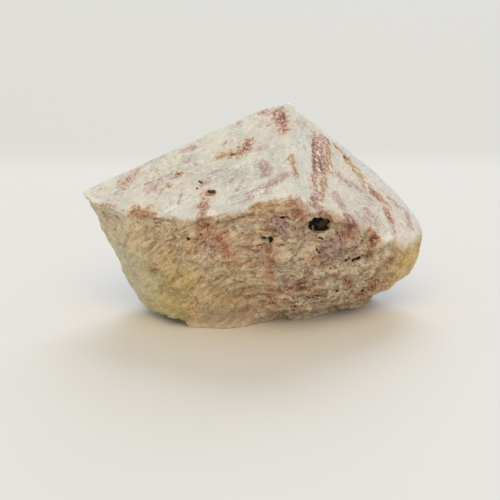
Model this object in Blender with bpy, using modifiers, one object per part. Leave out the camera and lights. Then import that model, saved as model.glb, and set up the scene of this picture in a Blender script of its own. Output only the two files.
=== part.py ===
"""A part-polished point of pink tourmaline in milky quartz, modelled as one stone.

The stone is a broken lump whose upper side was ground into flat, polished faces that meet
in a point, and whose underside was sawn just enough to stand. The lump is lofted from its
outlines at a few heights, remeshed and roughened, and then ground, sawn and hollowed as the
real one was. Lengths are in millimetres in this file and in metres in the scene, +Z up,
with the origin at the bottom centre of the stone.
"""

import math

import bmesh
import bpy
from mathutils import Vector, noise

MM = 0.001
NAME = "quartz_point"

# ---------------------------------------------------------------- driving dimensions

APEX = (10.4, 2.9, 61.5)  # where the polished faces meet
LEFT_TIP = (-49.7, 2.5, 35.3)  # far end of the long ridge that runs down from the apex
BACK_SHOULDER = (35.9, 13.0, 39.5)  # bend in the edge that runs down to the right
RIGHT_SHOULDER = (47.6, 9.0, 28.0)  # where the right-hand face turns steeper
RIGHT_END = (50.3, 4.0, 22.0)  # farthest point to the right

# Each polished face: the direction that it faces (degrees from +X), its slope from level,
# and a point on it.
POLISHED_FACES = {
    "front_left": (-123.4, 38.1, APEX),
    "front_right": (-33.5, 49.3, APEX),
    "right": (-12.0, 43.9, APEX),
    "right_shoulder": (12.0, 52.0, RIGHT_SHOULDER),
    "right_end": (5.0, 82.0, RIGHT_END),
    "back_right": (60.5, 46.5, APEX),
    "back_shoulder": (46.9, 57.5, BACK_SHOULDER),
    "back_left": (98.7, 40.6, APEX),
    "left": (130.6, 36.3, LEFT_TIP),
}

# The broken lump's outlines, seen from above, at rising heights. The corners go round from
# the left end by the front: left, left front, foot, front, nose, three along the right
# front, right, back right, back, back left.
OUTLINES = {
    -3: ((-22, 1), (-18, -7), (-15, -16), (-5, -16), (7, -9), (16, -9),
         (24, -2), (31, 3), (33, 8), (25, 16), (5, 20), (-14, 14)),
    0: ((-26, -1), (-22, -8), (-18, -18), (-5, -18.5), (7, -11), (17, -11),
        (26, -3.5), (34, 2), (36.5, 8), (28, 17), (5, 21), (-17, 15)),
    2.3: ((-33.3, -3), (-30.2, -11), (-20, -18), (-5, -19), (7, -13.5), (18, -13),
          (28, -5.5), (36.5, 1.5), (38.5, 8), (30, 18), (6, 23), (-20, 16)),
    4.2: ((-35.2, -1), (-30.5, -13), (-20, -20), (-5, -20), (8, -16.5), (19, -15.5),
          (30, -8.5), (38, -1), (40, 7), (31, 19), (6, 24), (-21, 17)),
    7: ((-37, 1), (-31.5, -13), (-19, -21), (-4, -20.5), (8, -20), (20, -18),
        (31, -12), (41, -4), (45, 5), (33, 20), (7, 26), (-22, 18)),
    14: ((-39.7, 1), (-33.5, -13), (-20, -23), (-4, -23), (8, -24), (22, -21),
         (34, -14), (44, -5), (49, 4), (38, 22), (9, 29), (-25, 21)),
    22: ((-44.7, 1), (-36, -13), (-20, -23.5), (-4, -25), (9, -28), (23, -21.5),
         (36, -13.5), (45.5, -6.5), (50.8, 3), (40, 23), (10, 30.5), (-26, 23)),
    31: ((-47.4, 1), (-36, -12), (-20, -21), (-4, -25), (10, -30), (23, -20.5),
         (36, -13.5), (46, -6.5), (52, 3), (41, 23), (10, 30.5), (-27, 24)),
    36: ((-52, 2), (-38, -12), (-20, -22), (-4, -26), (10.5, -31), (23, -20.5),
         (36, -13.5), (46, -6.5), (53, 3), (41, 23), (10, 31), (-27, 25)),
    66: ((-58, 2), (-40, -13), (-20, -24), (-4, -30), (11, -35), (25, -23),
         (38, -15), (47, -8), (54, 3), (42, 25), (10, 34), (-28, 27)),
}
SAWN_HEIGHT = 0.0  # the level, among the outlines, of the flat face that the stone stands on

# Broad forms of the broken surface: where each is, how far it reaches and how far it stands
# out, or in where that is negative.
FORMS = {
    "right_lobe": ((47.0, -3.0, 13.0), 8.0, 0.8),
    "lobe_groove": ((37.0, -12.0, 12.0), 4.5, -1.8),
    "foot": ((-10.0, -20.0, 1.0), 8.0, 0.5),
    "foot_recess": ((-2.0, -22.0, 8.5), 6.0, -1.8),
    "belly": ((12.0, -26.0, 22.0), 10.0, 0.8),
    "rim_crevice": ((-6.0, -26.0, 32.0), 6.0, -1.2),
    "left_step": ((-30.0, -15.0, 27.0), 5.0, -1.0),
    "lobe_underside": ((40.0, 3.0, 4.0), 6.0, -2.4),
    "left_rim": ((-27.0, -18.0, 33.0), 8.0, -1.8),
    "back_hollow": ((-8.0, 28.0, 16.0), 9.0, -3.0),
    "back_knob": ((20.0, 27.0, 22.0), 8.0, 2.0),
}

# Where the broken surface is worn smoother: the middle, how far it reaches, and how much of
# the roughness is left.
WORN = {
    "left_flank": ((-44.0, -3.0, 18.0), 17.0, 0.45),
    "right_lobe": ((49.0, -3.0, 13.0), 10.0, 0.4),
    "foot": ((-10.0, -20.0, 2.0), 7.0, 0.5),
}

SURFACE_SPACING = 0.9  # between the points of the broken surface
EDGE_SOFTENING = 12  # smoothing passes over the lump's corners
FACES_KEPT = 0.2  # share of the broken surface's faces that is left after thinning out
NEAREST_POINTS = 0.02  # points nearer than this become one

LUMP_SIZE, LUMP_HEIGHT = 14.0, 0.9
LEDGE_SPACING, LEDGE_DEPTH, LEDGE_SLANT = 8.0, 1.5, 0.18
LEDGE_WAVE, LEDGE_WAVINESS = 11.0, 0.9  # how far apart and how high the ledges' waves are
LEDGE_SHIFT = (7.0, 7.0, 7.0)  # moves the noise that thins the ledges out off that of the lumps
CHIP_SIZES = (8.0, 4.5)
CHIP_TILT = 0.18  # of its size, how far a chip's scar leans in or out
CHIP_STEP = 0.05  # of its size, how far it is set in or out
CHIP_SHUFFLE = 9.0  # spreads the chips' middles out, so that each draws a lean of its own

# Hollows that crystals fell out of: the middle and the size of each of their lobes.
HOLLOWS = {
    "front_vug": (
        ((17.0, -24.4, 32.2), (2.3, 4.0, 2.0)),
        ((19.0, -23.0, 31.4), (2.3, 4.6, 2.5)),
        ((20.8, -22.4, 32.6), (1.8, 3.6, 1.7)),
    ),
    "small_vug": (
        ((3.2, -27.4, 28.8), (1.1, 2.4, 1.0)),
        ((4.6, -27.2, 28.5), (0.9, 2.0, 0.8)),
    ),
    "underside_chip": (
        ((-22.0, -13.0, -0.4), (5.2, 8.0, 3.4)),
    ),
    "face_pit": (
        ((-12.4, -16.0, 39.4), (1.0, 1.4, 0.8)),
        ((-11.2, -16.3, 39.3), (0.9, 1.6, 0.9)),
    ),
}
HOLLOW_ROUGHNESS = 0.18  # of a lobe's size
HOLLOW_BUMPS = 2.0  # the bumps from a lobe's middle to its edge

MILKY_QUARTZ = (0.72, 0.70, 0.62, 1.0)


def direction(azimuth, slope):
    """Outward normal of a face that slopes down towards the azimuth, both in degrees."""
    turn, tilt = math.radians(azimuth), math.radians(slope)
    return Vector((math.sin(tilt) * math.cos(turn), math.sin(tilt) * math.sin(turn), math.cos(tilt)))


def clear_scene():
    """Removes the objects that a new scene starts with."""
    for obj in list(bpy.data.objects):
        bpy.data.objects.remove(obj)


def collection(name):
    """A new collection in the scene."""
    made = bpy.data.collections.new(name)
    bpy.context.scene.collection.children.link(made)
    return made


def lump_cage():
    """The outlines joined level by level into one closed cage."""
    cage = bmesh.new()
    rings = [[cage.verts.new((x, y, z)) for x, y in ring] for z, ring in OUTLINES.items()]
    for low, high in zip(rings, rings[1:]):
        for i in range(len(low)):
            j = (i + 1) % len(low)
            cage.faces.new((low[i], low[j], high[j], high[i]))
    cage.faces.new(reversed(rings[0]))
    cage.faces.new(rings[-1])
    return cage


def ledges(point):
    """Layers that each stand out most at their lower edge, as in a broken crystal."""
    level = (point.z + LEDGE_SLANT * point.x) / LEDGE_SPACING
    level += LEDGE_WAVINESS * noise.noise(point / LEDGE_WAVE)
    share = max(0.0, 0.5 + noise.noise(point / LUMP_SIZE + Vector(LEDGE_SHIFT)))
    return LEDGE_DEPTH * share * (0.5 - level % 1.0)


def chips(point):
    """Flat scars, each with a lean and a depth of its own."""
    height = 0.0
    for size in CHIP_SIZES:
        place = point / size
        middle = noise.voronoi(place)[1][0]
        lean = 2.0 * noise.cell_vector(middle * CHIP_SHUFFLE) - Vector((1.0, 1.0, 1.0))
        height += size * (CHIP_TILT * lean.dot(place - middle) + CHIP_STEP * lean.x)
    return height


def nearness(point, centre, reach):
    """1 at the centre, falling smoothly to almost nothing at twice the reach."""
    return math.exp(-((point - Vector(centre)).length / reach) ** 2)


def relief(point):
    """How far the broken surface stands out from the smooth lump at a point."""
    broad = sum(height * nearness(point, centre, reach) for centre, reach, height in FORMS.values())
    lumps = LUMP_HEIGHT * noise.noise(point / LUMP_SIZE)
    left = 1.0
    for centre, reach, share in WORN.values():
        left *= 1.0 - (1.0 - share) * nearness(point, centre, reach)
    return broad + lumps + left * (ledges(point) + chips(point))


def modified(mesh, parent, *modifiers):
    """The mesh after modifiers, each given as its type and its settings."""
    obj = bpy.data.objects.new("lump", mesh)
    parent.objects.link(obj)
    for kind, settings in modifiers:
        modifier = obj.modifiers.new(kind.lower(), kind)
        for name, value in settings.items():
            setattr(modifier, name, value)
    bpy.context.view_layer.update()
    graph = bpy.context.evaluated_depsgraph_get()
    made = bpy.data.meshes.new_from_object(obj.evaluated_get(graph))
    bpy.data.objects.remove(obj)
    return made


def rough_lump(parent):
    """The lump as it broke, before it was ground.

    It is made finely, so that the chips have crisp edges, and then thinned out to the faces
    that its shape needs.
    """
    cage = lump_cage()
    mesh = bpy.data.meshes.new("lump")
    cage.to_mesh(mesh)
    cage.free()

    even_faces = ("REMESH", {"mode": "VOXEL", "voxel_size": SURFACE_SPACING})
    soft_corners = ("SMOOTH", {"factor": 0.5, "iterations": EDGE_SOFTENING})
    mesh = modified(mesh, parent, even_faces, soft_corners)

    normals = [vertex.normal.copy() for vertex in mesh.vertices]
    for vertex, normal in zip(mesh.vertices, normals):
        vertex.co += normal * relief(vertex.co)
    return modified(mesh, parent, even_faces, ("DECIMATE", {"ratio": FACES_KEPT}))


def grind(mesh, normal, point):
    """Cuts the mesh flat on the outer side of a plane and closes the cut with one face."""
    bm = bmesh.new()
    bm.from_mesh(mesh)
    cut = bmesh.ops.bisect_plane(
        bm, geom=bm.verts[:] + bm.edges[:] + bm.faces[:],
        plane_co=point, plane_no=normal, clear_outer=True,
    )
    edges = [edge for edge in cut["geom_cut"] if isinstance(edge, bmesh.types.BMEdge)]
    bmesh.ops.holes_fill(bm, edges=edges)
    bm.to_mesh(mesh)
    bm.free()


def weld(mesh):
    """Joins points that the cuts left almost on top of each other."""
    bm = bmesh.new()
    bm.from_mesh(mesh)
    bmesh.ops.remove_doubles(bm, verts=bm.verts[:], dist=NEAREST_POINTS)
    bmesh.ops.dissolve_degenerate(bm, edges=bm.edges[:], dist=NEAREST_POINTS)
    bm.to_mesh(mesh)
    bm.free()


def hollow_cutter(name, middle, size, parent):
    """An uneven ball, larger than a crystal's grain, that is taken out of the stone."""
    bm = bmesh.new()
    bmesh.ops.create_icosphere(bm, subdivisions=2, radius=1.0)
    for vertex in bm.verts:
        uneven = 1.0 + HOLLOW_ROUGHNESS * noise.noise(HOLLOW_BUMPS * vertex.co + Vector(middle))
        vertex.co = Vector(middle) + Vector(size) * vertex.co * uneven
    mesh = bpy.data.meshes.new(name)
    bm.to_mesh(mesh)
    bm.free()
    obj = bpy.data.objects.new(name, mesh)
    obj.hide_render = True
    obj.display_type = "WIRE"
    parent.objects.link(obj)
    return obj


def quartz():
    """The one material, which is the average colour of the whole stone."""
    material = bpy.data.materials.new("milky_quartz")
    material.use_nodes = True
    shader = material.node_tree.nodes["Principled BSDF"]
    shader.inputs["Base Color"].default_value = MILKY_QUARTZ
    shader.inputs["Roughness"].default_value = 0.5
    shader.inputs["Metallic"].default_value = 0.0
    return material


def bottom_centre(mesh):
    """The middle of the mesh's box, at its lowest level."""
    xs, ys, zs = zip(*(vertex.co for vertex in mesh.vertices))
    return Vector(((min(xs) + max(xs)) / 2, (min(ys) + max(ys)) / 2, min(zs)))


def main():
    clear_scene()
    parts = collection(NAME)
    cutters = collection("cutters")

    mesh = rough_lump(parts)
    for azimuth, slope, point in POLISHED_FACES.values():
        grind(mesh, direction(azimuth, slope), Vector(point))
    grind(mesh, Vector((0, 0, -1)), Vector((0, 0, SAWN_HEIGHT)))
    weld(mesh)

    mesh.name = NAME
    mesh.materials.append(quartz())
    stone = bpy.data.objects.new(NAME, mesh)
    parts.objects.link(stone)
    hollows = [
        hollow_cutter(f"{name}_{i}", middle, size, cutters)
        for name, lobes in HOLLOWS.items()
        for i, (middle, size) in enumerate(lobes)
    ]
    for hollow in hollows:
        cut = stone.modifiers.new(hollow.name, "BOOLEAN")
        cut.object = hollow
        cut.operation = "DIFFERENCE"
        cut.solver = "EXACT"

    origin = bottom_centre(mesh)
    for obj in (stone, *hollows):
        for vertex in obj.data.vertices:
            vertex.co = (vertex.co - origin) * MM


main()
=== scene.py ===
# %% [markdown]
# # A part-polished point of pink tourmaline in milky quartz
#
# The stone is one broken lump. Its upper side was ground into flat faces that meet in a
# point, and then polished. Its flanks were left as they broke, and its underside was sawn
# just enough to stand. The solid of that stone is already packed, so this lesson dresses it:
# it makes a finer skin with the grain of a broken surface, and gives that skin the colours
# of quartz, tourmaline, mica and iron stain. Lengths are in metres, and `MM` is one
# millimetre.

import math
import random

import bpy
import numpy as np
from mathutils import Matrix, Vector, bvhtree, kdtree, noise


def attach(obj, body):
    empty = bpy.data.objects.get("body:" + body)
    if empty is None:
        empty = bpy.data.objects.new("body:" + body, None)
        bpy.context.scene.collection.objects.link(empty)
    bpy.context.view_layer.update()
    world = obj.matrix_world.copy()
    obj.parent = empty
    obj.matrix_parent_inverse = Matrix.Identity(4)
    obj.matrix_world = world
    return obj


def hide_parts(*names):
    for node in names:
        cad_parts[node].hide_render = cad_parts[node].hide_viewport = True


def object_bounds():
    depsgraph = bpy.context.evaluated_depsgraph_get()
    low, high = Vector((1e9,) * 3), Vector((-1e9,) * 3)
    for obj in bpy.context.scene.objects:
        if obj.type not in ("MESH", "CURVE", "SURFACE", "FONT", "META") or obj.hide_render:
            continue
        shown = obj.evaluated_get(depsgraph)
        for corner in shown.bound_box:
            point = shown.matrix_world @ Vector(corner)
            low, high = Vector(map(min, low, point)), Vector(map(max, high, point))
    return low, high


MM = 0.001

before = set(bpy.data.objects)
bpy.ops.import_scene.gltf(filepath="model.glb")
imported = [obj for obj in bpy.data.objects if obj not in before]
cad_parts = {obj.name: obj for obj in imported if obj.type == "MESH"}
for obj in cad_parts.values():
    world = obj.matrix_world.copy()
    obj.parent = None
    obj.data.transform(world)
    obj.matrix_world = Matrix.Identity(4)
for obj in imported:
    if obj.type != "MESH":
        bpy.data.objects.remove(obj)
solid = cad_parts["quartz_point"]
solid_box = [[float(value) for value in corner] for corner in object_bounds()]
lowest, highest = (Vector(corner) for corner in solid_box)
print("the stone is", [round((b - a) / MM, 1) for a, b in zip(lowest, highest)], "mm")

# %% [markdown]
# ## The camera
#
# A camera is placed by what it looks at, from how far, and from how high. A point a little
# left of the stone's middle and 18 mm up fills the middle of the picture. The lens follows
# from how wide a strip of the scene the picture takes in at that distance, so the size of
# the stone in the picture is one named number.

# %% Place the camera
PICTURE = 500  # pixels, both ways
LOOK_AT = Vector((-0.9, 0.0, 17.9)) * MM
DISTANCE = 420 * MM
DEGREES_ABOVE = 16.0
PIXEL_WIDTH = 0.2959 * MM  # what one pixel spans at the distance of LOOK_AT
SENSOR = 36.0

above = math.radians(DEGREES_ABOVE)
camera = bpy.data.objects.new("camera", bpy.data.cameras.new("camera"))
bpy.context.scene.collection.objects.link(camera)
camera.location = LOOK_AT + Vector((0, -math.cos(above), math.sin(above))) * DISTANCE
camera.rotation_euler = (math.radians(90) - above, 0, 0)
camera.data.sensor_width = SENSOR
camera.data.lens = SENSOR * DISTANCE / (PICTURE * PIXEL_WIDTH)
bpy.context.scene.camera = camera
bpy.context.view_layer.update()
print("the lens is", round(camera.data.lens, 1), "mm")

# %% [markdown]
# ## Small helpers for materials
#
# Colours are written as the hex values that a screen shows, and one function turns them into
# the linear values that Blender mixes. One more function adds a node: its sockets take a
# number, a colour or another node's output, and its settings are passed by name.

# %% Colours and nodes
def linear(hex_colour):
    """Linear red, green, blue and alpha of an sRGB hex value such as '#DDE0D8'."""
    parts = [int(hex_colour[i:i + 2], 16) / 255 for i in (1, 3, 5)]
    return [p / 12.92 if p <= 0.04045 else ((p + 0.055) / 1.055) ** 2.4 for p in parts] + [1.0]


def add(tree, kind, sockets=None, **settings):
    """Adds a node, sets its sockets or links them to other nodes' outputs, and returns it."""
    node = tree.nodes.new(kind)
    for name, value in settings.items():
        setattr(node, name, value)
    for socket, value in (sockets or {}).items():
        if isinstance(value, bpy.types.NodeSocket):
            tree.links.new(value, node.inputs[socket])
        else:
            node.inputs[socket].default_value = value
    return node


def new_material(name):
    """A material with an empty node tree."""
    material = bpy.data.materials.new(name)
    material.use_nodes = True
    material.node_tree.nodes.clear()
    return material


FACTOR, FIRST, SECOND, MIXED = 0, 6, 7, 2  # the sockets of a Mix node that mixes colours
print("milky quartz in linear values:", [round(c, 3) for c in linear("#DDE0D8")])

# %% [markdown]
# ## The table
#
# The stone stands on matt white board, and the far part of the board is painted a shade
# greyer, as painted shade where the light falls off. One large flat sheet with a procedural
# material does for both: it needs no seam in the mesh, because the grey sets in by how far
# back a point lies. Matt board scatters light evenly, so its roughness is high and its
# reflection is weak.

# %% Lay the board
BOARD_HALF = 3.0
BOARD_DROP = 0.05 * MM  # the board lies a hair below the stone's base
BOARD_WHITE, BOARD_SHADE, FAR_SHADE_GREY = "#EDEDEB", "#EBEBE9", "#E2E2DF"
BOARD_ROUGHNESS, BOARD_REFLECTION = 0.9, 0.2
CLOUDS_PER_METRE = 6.0  # the board's own faint unevenness
FAR_SHADE_FROM, FAR_SHADE_TO = 0.176, 0.240  # how far behind the stone's middle the white gives way

board_mesh = bpy.data.meshes.new("white_board")
corners = [(x, y, -BOARD_DROP) for x, y in ((-1, -1), (1, -1), (1, 1), (-1, 1))]
board_mesh.from_pydata(
    [(x * BOARD_HALF, y * BOARD_HALF, z) for x, y, z in corners], [], [(0, 1, 2, 3)])
board = bpy.data.objects.new("white_board", board_mesh)
bpy.context.scene.collection.objects.link(board)

matt_board = new_material("matt_white_board")
tree = matt_board.node_tree
spot = add(tree, "ShaderNodeTexCoord").outputs["Object"]
behind = add(tree, "ShaderNodeSeparateXYZ", {0: spot}).outputs["Y"]
# painted shade: the board turns greyer towards the back, where the light falls off
painted_far_shade = add(tree, "ShaderNodeMapRange", {
    "Value": behind, "From Min": FAR_SHADE_FROM, "From Max": FAR_SHADE_TO}, interpolation_type="SMOOTHSTEP")
clouds = add(tree, "ShaderNodeTexNoise", {
    "Vector": spot, "Scale": CLOUDS_PER_METRE, "Detail": 2.0})
white = add(tree, "ShaderNodeMix", {
    FACTOR: clouds.outputs["Fac"], FIRST: linear(BOARD_SHADE), SECOND: linear(BOARD_WHITE),
}, data_type="RGBA")
board_and_far_shade = add(tree, "ShaderNodeMix", {
    FACTOR: painted_far_shade.outputs[0], FIRST: white.outputs[MIXED], SECOND: linear(FAR_SHADE_GREY),
}, data_type="RGBA")
paper = add(tree, "ShaderNodeBsdfPrincipled", {
    "Base Color": board_and_far_shade.outputs[MIXED], "Roughness": BOARD_ROUGHNESS,
    "Specular IOR Level": BOARD_REFLECTION,
})
add(tree, "ShaderNodeOutputMaterial", {"Surface": paper.outputs[0]})
board_mesh.materials.append(matt_board)
print("the board is", 2 * BOARD_HALF, "m across")

# %% [markdown]
# ## The light
#
# A wide cool window behind the stone throws its soft shadow to the front. A wide warm light
# from above and before it lights the flank and keeps that shadow pale, and the room adds a
# dim glow from everywhere. Both lights are far away, so they are suns: a direction, a width
# in degrees as the stone sees it, a strength and a colour.

# %% Hang the lights and fill the room
LIGHTS = {
    "window": (Vector((0.12, 0.85, 0.53)), 38, 1.78, (0.69, 0.79, 1.0)),
    "warm_light": (Vector((0.0, -0.6, 0.8)), 60, 1.10, (1.0, 0.655, 0.27)),
}
ROOM_COLOUR = (0.89, 0.98, 1.0, 1.0)
ROOM_STRENGTH = 0.52

for name, (towards, degrees_wide, strength, colour) in LIGHTS.items():
    light = bpy.data.objects.new(name, bpy.data.lights.new(name, "SUN"))
    bpy.context.scene.collection.objects.link(light)
    light.rotation_euler = towards.to_track_quat("Z", "Y").to_euler()
    light.data.angle = math.radians(degrees_wide)
    light.data.energy, light.data.color = strength, colour

room = bpy.data.worlds.new("room")
bpy.context.scene.world = room
room.use_nodes = True
room.node_tree.nodes.clear()
glow = add(room.node_tree, "ShaderNodeBackground", {
    "Color": ROOM_COLOUR, "Strength": ROOM_STRENGTH})
add(room.node_tree, "ShaderNodeOutputWorld", {"Surface": glow.outputs[0]})
bpy.context.scene.view_settings.view_transform = "Standard"
print("lights:", [light.name for light in bpy.data.lights])

# %% [markdown]
# ## A fine skin for the stone
#
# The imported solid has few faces, so its broken flanks are flat shards about two millimetres
# across. A real broken surface has grain down to a fraction of a millimetre. The skin is a
# voxel remesh of the solid, which gives evenly spaced points, and a shrinkwrap puts them back
# on the solid, so that the ground faces stay flat and their edges end up slightly worn, as
# they do from handling.

# %% Make the skin
SKIN_SPACING = 0.5 * MM


def shaped(name, mesh, *modifiers):
    """A new object from the mesh as these modifiers leave it, each a type and its settings."""
    raw = bpy.data.objects.new(name, mesh)
    bpy.context.scene.collection.objects.link(raw)
    for kind, settings in modifiers:
        modifier = raw.modifiers.new(kind.lower(), kind)
        for setting, value in settings.items():
            setattr(modifier, setting, value)
    bpy.context.view_layer.update()
    graph = bpy.context.evaluated_depsgraph_get()
    made = bpy.data.objects.new(name, bpy.data.meshes.new_from_object(raw.evaluated_get(graph)))
    bpy.data.objects.remove(raw)
    made.name = name
    bpy.context.scene.collection.objects.link(made)
    return made


stone = shaped(
    "tourmalinated_quartz", solid.data.copy(),
    ("REMESH", {"mode": "VOXEL", "voxel_size": SKIN_SPACING}),
    ("SHRINKWRAP", {"target": solid, "wrap_method": "NEAREST_SURFACEPOINT"}),
)
skin = stone.data
skin.materials.clear()
print("the skin has", len(skin.vertices), "points")

# %% [markdown]
# ## Which parts are ground, sawn and broken
#
# The ground faces are the only large flat areas, so they are found by adding up the areas of
# the solid's triangles that share a plane. The one that faces down is the sawn base. Each
# point of the skin then asks the solid for the face nearest to it. A k-d tree gives every
# point's distance to the other kind of surface, which later fades the grain out at the rim
# of the polished faces.

# %% Tell the ground faces from the broken ones
LEAST_FLAT_AREA = 25.0  # square millimetres
FACES_DOWN = -0.9  # a face whose normal points down at least this much is the base


def plane_of(face):
    """The plane of a face, rounded so that coplanar faces agree."""
    normal = face.normal.normalized()
    return (*(round(part, 2) for part in normal), round(normal.dot(face.center) / MM, 1))


flat_area = {}
for face in solid.data.polygons:
    flat_area[plane_of(face)] = flat_area.get(plane_of(face), 0.0) + face.area / MM ** 2
flat = [flat_area[plane_of(face)] > LEAST_FLAT_AREA for face in solid.data.polygons]
faces_down = [face.normal.z < FACES_DOWN for face in solid.data.polygons]

solid_faces = bvhtree.BVHTree.FromPolygons(
    [v.co for v in solid.data.vertices], [f.vertices for f in solid.data.polygons])
nearest_face = [solid_faces.find_nearest(v.co)[2] for v in skin.vertices]
ground = np.array([flat[i] and not faces_down[i] for i in nearest_face])
sawn = np.array([flat[i] and faces_down[i] for i in nearest_face])
broken = ~(ground | sawn)


def points_of(mesh):
    """The mesh's points as rows of x, y and z in millimetres."""
    flat_list = np.empty(len(mesh.vertices) * 3)
    mesh.vertices.foreach_get("co", flat_list)
    return flat_list.reshape(-1, 3) / MM


def gap_to(points, others):
    """Each point's distance to the nearest of the others."""
    tree = kdtree.KDTree(len(others))
    for i, other in enumerate(others):
        tree.insert(other, i)
    tree.balance()
    return np.array([tree.find(point)[2] for point in points])


points = points_of(skin)
from_rim = np.where(broken, gap_to(points, points[~broken]), gap_to(points, points[broken]))
for kind, chosen in (("ground", ground), ("sawn", sawn), ("broken", broken)):
    print(int(chosen.sum()), kind, "points")

# %% [markdown]
# ## The grain of the broken flanks
#
# Quartz and feldspar split into splinters: small tilted scars, about three times as long as
# they are wide, that lie in layers. On this stone they rise to the right on the left half and
# lie nearly level on the right half. A cell pattern stretched along that direction gives each
# splinter a lean and a depth of its own. All of it moves the skin's points, since grain that
# is only shaded looks painted on from the side.

# %% Split the surface into splinters
SPLINTER_WIDTHS = (2.6, 1.3)  # millimetres
SPLINTER_STRETCH = 3.2
SPLINTER_LEAN = 0.30  # of its width
SPLINTER_STEP = 0.05  # of its width
SPLINTER_SHUFFLE = 9.0  # spreads the splinters' middles out, so that each draws its own lean
LEFT_RISE, RIGHT_RISE = math.radians(38), math.radians(8)  # the splinters' slope across the front


def splinters(place, rise):
    """Long flat scars that slope up to the right by an angle, each with a lean of its own."""
    along = Vector((math.cos(rise), 0.0, math.sin(rise)))
    across = Vector((-math.sin(rise), 0.0, math.cos(rise)))
    height = 0.0
    for width in SPLINTER_WIDTHS:
        cell = Vector((place.dot(along) / SPLINTER_STRETCH, place.y, place.dot(across))) / width
        middle = noise.voronoi(cell)[1][0]
        lean = 2.0 * noise.cell_vector(middle * SPLINTER_SHUFFLE) - Vector((1.0, 1.0, 1.0))
        height += width * (SPLINTER_LEAN * lean.dot(cell - middle) + SPLINTER_STEP * lean.x)
    return height


somewhere = Vector((20.0, -20.0, 15.0))
print("a splinter's height there:", round(splinters(somewhere, RIGHT_RISE), 2), "mm")

# %% [markdown]
# ## Creases and pits
#
# Between the layers run thin grooves, and here and there a grain fell out and left a pit. Both
# come from smooth noise: a groove follows the line where the noise crosses zero, and a pit is
# sunk where the noise is high. Breaking takes stone away, so they only ever cut in.

# %% Cut creases and pits
CREASE_SPACING, CREASE_WIDTH, CREASE_DEPTH = 3.2, 0.11, 0.55  # the width is in units of noise
PIT_SPACING, PIT_LEVEL, PIT_DEPTH = 2.0, 0.36, 1.2


def creases(place, rise):
    """Thin grooves between the layers, where a noise stretched along them crosses zero."""
    along = place.x * math.cos(rise) + place.z * math.sin(rise)
    across = place.z * math.cos(rise) - place.x * math.sin(rise)
    level = noise.noise(Vector((along / SPLINTER_STRETCH, place.y, across)) / CREASE_SPACING)
    return -CREASE_DEPTH * max(0.0, 1.0 - abs(level) / CREASE_WIDTH)


def pits(place):
    """Small holes, deepest in their middle."""
    level = noise.noise(place / PIT_SPACING)
    return -PIT_DEPTH * max(0.0, level - PIT_LEVEL) / (1.0 - PIT_LEVEL)


print("a crease is up to", CREASE_DEPTH, "mm deep, and a pit up to", PIT_DEPTH, "mm")

# %% [markdown]
# ## Where the grain is coarse
#
# The flanks aren't equally rough. The left end and the lobe on the right are worn smooth, and
# the right front is the most splintered. A short list says where, how far that reaches and
# what share of the grain is there, and each place takes the product of the shares near it.

# %% Add the grain up at a place
CHANGE_FROM, CHANGE_TO = -15.0, 8.0  # where along the stone one slope gives way to the other
FINE_SIZE, FINE_HEIGHT = 1.1, 0.14
FINE_FALL, FINE_STEP, FINE_LAYERS = 0.6, 2.0, 2  # how much weaker and finer each layer is
FINE_LEAST = 0.3  # the share of the fine grain that is left on the smoothest part
GRAIN_SUNK = 0.25  # the grain as a whole lies this deep under the solid
GRAIN_SHARES = {
    "left_flank": ((-45.0, -3.0, 18.0), 18.0, 0.15),
    "left_foot": ((-32.0, -10.0, 4.0), 11.0, 0.4),
    "right_lobe": ((49.0, -3.0, 12.0), 11.0, 0.1),
    "left_middle": ((-22.0, -17.0, 7.0), 13.0, 0.4),
    "foot": ((-8.0, -21.0, 1.0), 10.0, 0.2),
    "right_front": ((26.0, -20.0, 10.0), 20.0, 1.5),
}


def grain_share(place):
    """How coarse the grain is at a place."""
    coarse = 1.0
    for middle, reach, share in GRAIN_SHARES.values():
        near = math.exp(-((place - Vector(middle)).length / reach) ** 2)
        coarse *= 1.0 - (1.0 - share) * near
    return coarse


def grain(place, share):
    """How far the broken surface stands out at a place, both in millimetres."""
    right = min(1.0, max(0.0, (place.x - CHANGE_FROM) / (CHANGE_TO - CHANGE_FROM)))
    coarse = sum(
        part * (splinters(place, rise) + creases(place, rise))
        for part, rise in ((1.0 - right, LEFT_RISE), (right, RIGHT_RISE)) if part > 0)
    fine = FINE_HEIGHT * noise.fractal(place / FINE_SIZE, FINE_FALL, FINE_STEP, FINE_LAYERS)
    fine_share = FINE_LEAST + (1.0 - FINE_LEAST) * share
    return share * (coarse + pits(place) - GRAIN_SUNK) + fine_share * fine


coarseness = np.array([grain_share(Vector(point)) for point in points])
height = np.zeros(len(points))
for i in np.flatnonzero(broken):
    height[i] = grain(Vector(points[i]), coarseness[i])
print("the grain runs from", round(height.min(), 2), "to", round(height.max(), 2), "mm")

# %% [markdown]
# ## Worn rims, and the grain raised
#
# Handling rounds the rims a little, so the points near them are drawn towards the middle of
# their neighbours a few times before the grain is added. The lobe at the right end is worn
# smooth, rim and all, and swells out a little. The grain fades out towards the polished
# faces, which are flat, and the height of each point is kept: the material paints the low
# places darker, as painted shade and as the iron stain that settles there, and the high
# places lighter, as a painted highlight.

# %% Round the rims and raise the grain
ROUNDED_WITHIN, RIM_ROUNDING, RIM_STEPS = 1.2, 0.6, 6  # millimetres, share a step, steps
LOBE_MIDDLE, LOBE_REACH, LOBE_SWELL = (49.5, 1.0, 20.0), 6.0, 0.8
LOBE_ROUNDING, LOBE_STEPS = 0.8, 25
FADES_FROM_RIM = 1.4
BASE_BAND = 1.0  # the lowest millimetre is left alone, so that the base stays flat


def rounded(points, links, share, steps):
    """The points drawn towards the middle of their neighbours by a share, so many times."""
    points = points.copy()
    neighbours = np.bincount(links.ravel(), minlength=len(points))[:, None]
    for _ in range(steps):
        total = np.zeros_like(points)
        np.add.at(total, links[:, 0], points[links[:, 1]])
        np.add.at(total, links[:, 1], points[links[:, 0]])
        points += share[:, None] * (total / neighbours - points)
    return points


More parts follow.
